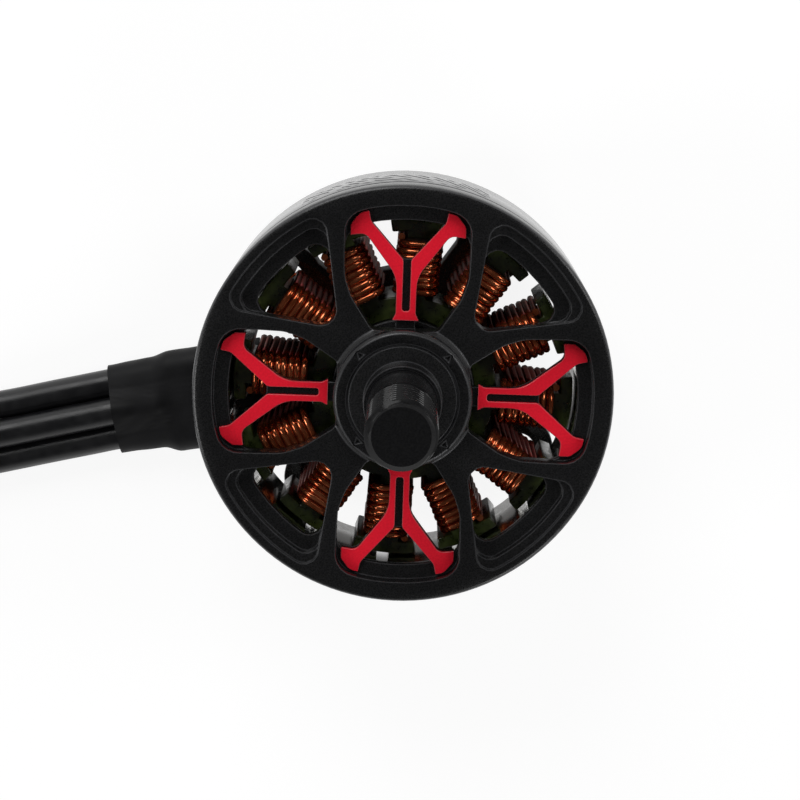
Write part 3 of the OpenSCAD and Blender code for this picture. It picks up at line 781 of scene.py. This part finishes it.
def turnedShaft():
    facts = shaftFacts
    bottom, top = shaftLow.z, shaftHigh.z
    threadFrom = facts["threadFrom"]
    footLow, footReach = threadFrom - facts["footWide"], facts["thread"] - facts["footDeep"]
    rings = round((top - threadFrom) / facts["ring"])
    profile = [(0, facts["holeTop"]), (facts["hole"], facts["holeTop"]), (facts["hole"], bottom),
               (facts["journal"] - facts["footChamfer"], bottom),
               (facts["journal"], bottom + facts["footChamfer"]),
               (facts["journal"], facts["step"]), (facts["thread"], facts["step"]),
               (facts["thread"], footLow), (footReach, footLow), (footReach, threadFrom)]
    profile += [(facts["thread"], threadFrom + (top - threadFrom) * i / rings)
                for i in range(rings + 1)]
    profile.append((0, top))
    mesh = bpy.data.meshes.new("threaded_shaft")
    mesh.from_pydata([(r, 0, z) for r, z in profile],
                     [(i, i + 1) for i in range(len(profile) - 1)], [])
    shaft = bpy.data.objects.new("threaded_shaft", mesh)
    bpy.context.collection.objects.link(shaft)
    editAll(shaft)
    bpy.ops.mesh.spin(steps=facts["round"], angle=2 * math.pi, center=(0, 0, 0), axis=(0, 0, 1))
    bpy.ops.mesh.select_all(action="SELECT")
    bpy.ops.mesh.remove_doubles(threshold=weld)
    bpy.ops.mesh.normals_make_consistent(inside=False)
    bpy.ops.object.mode_set(mode="OBJECT")
    for vertex in shaft.data.vertices:
        x, y, z = vertex.co
        radius = math.hypot(x, y)
        if z < threadFrom + 0.01 * mm or radius < facts["core"]:
            continue
        turn = math.atan2(y, x) / (2 * math.pi)
        share = (z / facts["pitch"] - turn) % 1
        ridge = min(1, max(0, facts["ridge"] - facts["flank"] * abs(share - 0.5)))
        wide = facts["core"] + (facts["thread"] - facts["core"]) * ridge
        wide = min(wide, facts["thread"] - max(0, z - (top - facts["tipChamfer"])))
        vertex.co = Vector((x / radius * wide, y / radius * wide, z))
    smoothed(shaft, 40)
    dress(shaft, "shaftSteel", "paintedCrestHighlight")
    # faces on the crests take the second slot, the painted highlight
    for face in shaft.data.polygons:
        corners = [shaft.data.vertices[i].co for i in face.vertices]
        if all(c.z > threadFrom and math.hypot(c.x, c.y) > facts["crest"] for c in corners):
            face.material_index = 1
    return finish(shaft, "rotor", ("shaft",))


# windings

coilFacts = {
    "wire": 0.275 * mm,          # radius of the wire
    "turns": 8, "width": 3.4 * mm, "corner": 1.2 * mm,
    "inner": 6.97 * mm, "outer": 11.45 * mm,
    "liner": (2.45 * mm, 8.9 * mm),
    "perCorner": 5, "perSide": 3, "wander": 0.035 * mm,
    "swell": 0.021, "swellRate": 5.1, "wanderRate": 9.7, "wanderFrom": 1.3,
    "linerEdge": 0.5 * mm, "teeth": 12,
}
phases = {"a": 0, "b": 2, "c": 4}      # the first tooth of each
phaseTeeth = (0, 1, 6, 7)              # a phase's teeth, counted from its first


def loopOutline(width, height, corner, perCorner, perSide):
    # one turn of wire about the middle of a tooth, as (sideways, up) points
    points = []
    half, tall = width / 2 - corner, height / 2 - corner
    for k, (sx, sy) in enumerate(((1, 1), (-1, 1), (-1, -1), (1, -1))):
        for i in range(perCorner + 1):
            turn = math.radians(90 * k + 90 * i / perCorner)
            points.append((sx * half + corner * math.cos(turn),
                           sy * tall + corner * math.sin(turn)))
        end = points[-1]
        nx, ny = ((-1, 1), (-1, -1), (1, -1), (1, 1))[k]
        turn = math.radians(90 * (k + 1))
        start = (nx * half + corner * math.cos(turn), ny * tall + corner * math.sin(turn))
        for i in range(1, perSide + 1):
            share = i / (perSide + 1)
            points.append((end[0] + (start[0] - end[0]) * share,
                           end[1] + (start[1] - end[1]) * share))
    return points


def woundCoil():
    facts = coilFacts
    wire = facts["wire"]
    middle = (coreLow.z + coreHigh.z) / 2
    height = coilHigh.z - coilLow.z
    outline = loopOutline(facts["width"] - 2 * wire, height - 2 * wire, facts["corner"] - wire,
                          facts["perCorner"], facts["perSide"])
    count = len(outline)
    first, last = facts["inner"] + wire, facts["outer"] - wire
    total = facts["turns"] * count
    points = []
    for i in range(total + 1):
        side, up = outline[i % count]
        turnsDone = i / count
        swell = 1 + facts["swell"] * math.sin(turnsDone * facts["swellRate"])
        reach = first + (last - first) * turnsDone / facts["turns"]
        reach += facts["wander"] * math.sin(turnsDone * facts["wanderRate"] + facts["wanderFrom"])
        points.append(Vector((reach, side * swell, middle + up)))
    coil = asMesh(wireAlong("winding_wire", points, wire, 2))
    bpy.ops.mesh.primitive_cube_add(size=1)
    liner = bpy.context.object
    liner.scale = (last - first, *facts["liner"])
    liner.location = ((first + last) / 2, 0, middle)
    settle(liner)
    bevelled(liner, facts["linerEdge"], 3)
    dress(coil, "enamelledCopper")
    dress(liner, "slotLiner")
    coil = joined([coil, liner], "one_coil")
    smoothed(coil, 60)
    return coil


def windStator():
    pattern = woundCoil()
    toothTurn = 2 * math.pi / coilFacts["teeth"]
    for phase, first in phases.items():
        coils = []
        for tooth in phaseTeeth:
            coil = bpy.data.objects.new("coil", pattern.data.copy())
            bpy.context.collection.objects.link(coil)
            turn = (first + tooth + 0.5) * toothTurn
            coil.data.transform(Matrix.Rotation(turn, 4, "Z"))
            coils.append(coil)
        whole = joined(coils, "winding_phase_" + phase)
        finish(whole, "stator", ("coils_phase_" + phase,))
    bpy.data.objects.remove(pattern)


tailFacts = {
    "strand": 0.2 * mm, "ring": 0.38 * mm, "count": 5, "twist": 260, "steps": 10,
    "over": 0.2 * mm,                          # how far a tail runs on into its coil
}


def windingTails():
    low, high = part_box("winding_tails")
    tails = []
    for name, lead in leads.items():
        start = ((low.x + high.x) / 2, lead["route"][0][1] * mm, low.z)
        length = high.z - low.z + tailFacts["over"]
        tails.append(strandBundle("tail_" + name, start, (0, 0, 1), length, tailFacts))
    whole = joined(tails, "twisted_tails")
    dress(whole, "enamelledCopper")
    smoothed(whole, 60)
    return finish(whole, "stator", ("winding_tails",))


# floor and light

studioFacts = {
    "floorSize": 4.0, "floorTone": 0.8,
    "glow": 0.87, "shadowShare": 1.6,               # the floor's own white, and its shadows' strength
    "paintedShadeReach": (0.011, 0.0145), "paintedShadeGlow": 0.1,    # painted shade: in reflections the floor under the motor glows less, where its shadow falls
    "skyFade": (0.15, 0.62),                        # from level to overhead, the sine of the height
    "skyLow": 1.0, "skyHigh": 0.07,
    "lamps": [     # direction, height in degrees, distance, size, watts
        (98, 36, 0.5, 0.26, 0.95), (-70, 34, 0.5, 0.16, 0.35), (15, 40, 0.5, 0.16, 0.4),
        (185, 36, 0.5, 0.16, 0.5)],
}


def seenDirectly(nodes, links):
    path = nodes.new("ShaderNodeLightPath")
    most = path.outputs["Is Camera Ray"]
    for other in ("Is Glossy Ray", "Is Transmission Ray"):
        either = nodes.new("ShaderNodeMath")
        either.operation = "MAXIMUM"
        links.new(most, either.inputs[0])
        links.new(path.outputs[other], either.inputs[1])
        most = either.outputs[0]
    return most


def layFloor():
    bpy.ops.mesh.primitive_plane_add(size=studioFacts["floorSize"])
    floor = bpy.context.object
    floor.name = "paleFloor"
    material = bpy.data.materials.new("pale floor")
    material.use_nodes = True
    nodes, links = material.node_tree.nodes, material.node_tree.links
    nodes.clear()
    out = nodes.new("ShaderNodeOutputMaterial")
    paper = nodes.new("ShaderNodeBsdfDiffuse")
    tone = studioFacts["floorTone"]
    paper.inputs["Color"].default_value = (tone, tone, tone, 1)
    seenPaper = nodes.new("ShaderNodeBsdfDiffuse")
    seenTone = (1 - studioFacts["glow"]) * studioFacts["shadowShare"]
    seenPaper.inputs["Color"].default_value = (seenTone, seenTone, seenTone, 1)
    glow = nodes.new("ShaderNodeEmission")
    glow.inputs["Color"].default_value = (1, 1, 1, 1)
    place = nodes.new("ShaderNodeTexCoord")
    reach = nodes.new("ShaderNodeVectorMath")
    reach.operation = "LENGTH"
    links.new(place.outputs["Object"], reach.inputs[0])
    # painted shade: for reflected rays the floor's glow drops under the motor, in place of its shadow
    shade = nodes.new("ShaderNodeMapRange")
    shade.interpolation_type = "SMOOTHSTEP"
    shade.inputs["From Min"].default_value = studioFacts["paintedShadeReach"][0]
    shade.inputs["From Max"].default_value = studioFacts["paintedShadeReach"][1]
    shade.inputs["To Min"].default_value = studioFacts["paintedShadeGlow"]
    shade.inputs["To Max"].default_value = studioFacts["glow"]
    links.new(reach.outputs["Value"], shade.inputs["Value"])
    path = nodes.new("ShaderNodeLightPath")
    choice = nodes.new("ShaderNodeMix")
    links.new(path.outputs["Is Camera Ray"], choice.inputs["Factor"])
    links.new(shade.outputs["Result"], choice.inputs["A"])
    choice.inputs["B"].default_value = studioFacts["glow"]
    links.new(choice.outputs["Result"], glow.inputs["Strength"])
    both = nodes.new("ShaderNodeAddShader")
    links.new(seenPaper.outputs[0], both.inputs[0])
    links.new(glow.outputs[0], both.inputs[1])
    choose = nodes.new("ShaderNodeMixShader")
    links.new(seenDirectly(nodes, links), choose.inputs[0])
    links.new(paper.outputs[0], choose.inputs[1])
    links.new(both.outputs[0], choose.inputs[2])
    links.new(choose.outputs[0], out.inputs["Surface"])
    floor.data.materials.append(material)


def lightStudio():
    world = bpy.data.worlds.new("paleStudio")
    stage.world = world
    world.use_nodes = True
    nodes, links = world.node_tree.nodes, world.node_tree.links
    nodes.clear()
    out = nodes.new("ShaderNodeOutputWorld")
    place = nodes.new("ShaderNodeTexCoord")
    split = nodes.new("ShaderNodeSeparateXYZ")
    fade = nodes.new("ShaderNodeMapRange")
    fade.interpolation_type = "SMOOTHSTEP"
    fade.inputs["From Min"].default_value = studioFacts["skyFade"][0]
    fade.inputs["From Max"].default_value = studioFacts["skyFade"][1]
    fade.inputs["To Min"].default_value = studioFacts["skyLow"]
    fade.inputs["To Max"].default_value = studioFacts["skyHigh"]
    links.new(place.outputs["Generated"], split.inputs[0])
    links.new(split.outputs["Z"], fade.inputs["Value"])
    sky = nodes.new("ShaderNodeBackground")
    links.new(fade.outputs["Result"], sky.inputs["Strength"])
    plain = nodes.new("ShaderNodeBackground")
    plain.inputs["Color"].default_value = (1, 1, 1, 1)
    plain.inputs["Strength"].default_value = 1.0
    path = nodes.new("ShaderNodeLightPath")
    choose = nodes.new("ShaderNodeMixShader")
    links.new(path.outputs["Is Camera Ray"], choose.inputs[0])
    links.new(sky.outputs[0], choose.inputs[1])
    links.new(plain.outputs[0], choose.inputs[2])
    links.new(choose.outputs[0], out.inputs["Surface"])
    for direction, height, distance, size, power in studioFacts["lamps"]:
        turn, lift = math.radians(direction), math.radians(height)
        spot = Vector((math.cos(turn) * math.cos(lift), math.sin(turn) * math.cos(lift),
                       math.sin(lift)))
        bpy.ops.object.light_add(type="AREA", location=spot * distance)
        lamp = bpy.context.object
        lamp.rotation_euler = spot.to_track_quat("Z", "Y").to_euler()
        lamp.data.size = size
        lamp.data.energy = power


# putting it together

nothingSelected()
placeCamera(cameraFacts)
edged = edgedParts()
sleeve = shrinkSleeve()
tips = leadTips()
layLeads()
print("leads laid")
for node, kind in plainFacts.items():
    dress(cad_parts[node], kind)
turnedShaft()
windStator()
windingTails()
print("stator wound")
layFloor()
lightStudio()
print("studio lit")
